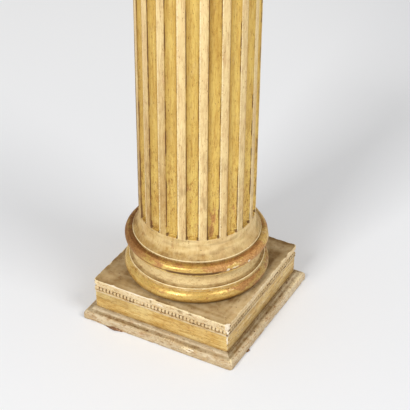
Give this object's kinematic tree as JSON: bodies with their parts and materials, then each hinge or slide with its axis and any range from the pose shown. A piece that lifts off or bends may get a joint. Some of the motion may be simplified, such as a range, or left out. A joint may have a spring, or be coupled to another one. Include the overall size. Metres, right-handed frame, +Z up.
{
  "type": "fluted column base",
  "caption": "Lower part of a fluted giltwood column on a turned base moulding, a beaded square plinth block and a moulded foot slab.",
  "frame": {"origin": "centre of the foot slab's underside, on the surface that the column stands on", "axes": "+Z up along the column's axis; -Y is the plinth's front face, +X its right face"},
  "size_m": [0.3225, 0.3245, 0.7],
  "materials": {
    "foot_paint": "worn cream paint over gesso on wood, dirty in the hollow",
    "plinth_gilt": "worn water gilding on the side panels, dull cream paint on top and on the worn arrises",
    "moulding_gilt": "water gilding worn to red-brown bole on the toruses, cream paint in the scotia",
    "shaft_gilt": "gilded flutes between cream painted fillets, brown glaze in the corners"
  },
  "bodies": {
    "root": {"foot_slab": "foot_paint", "plinth_block": "plinth_gilt", "base_moulding": "moulding_gilt", "fluted_shaft": "shaft_gilt"}
  },
  "joints": []
}
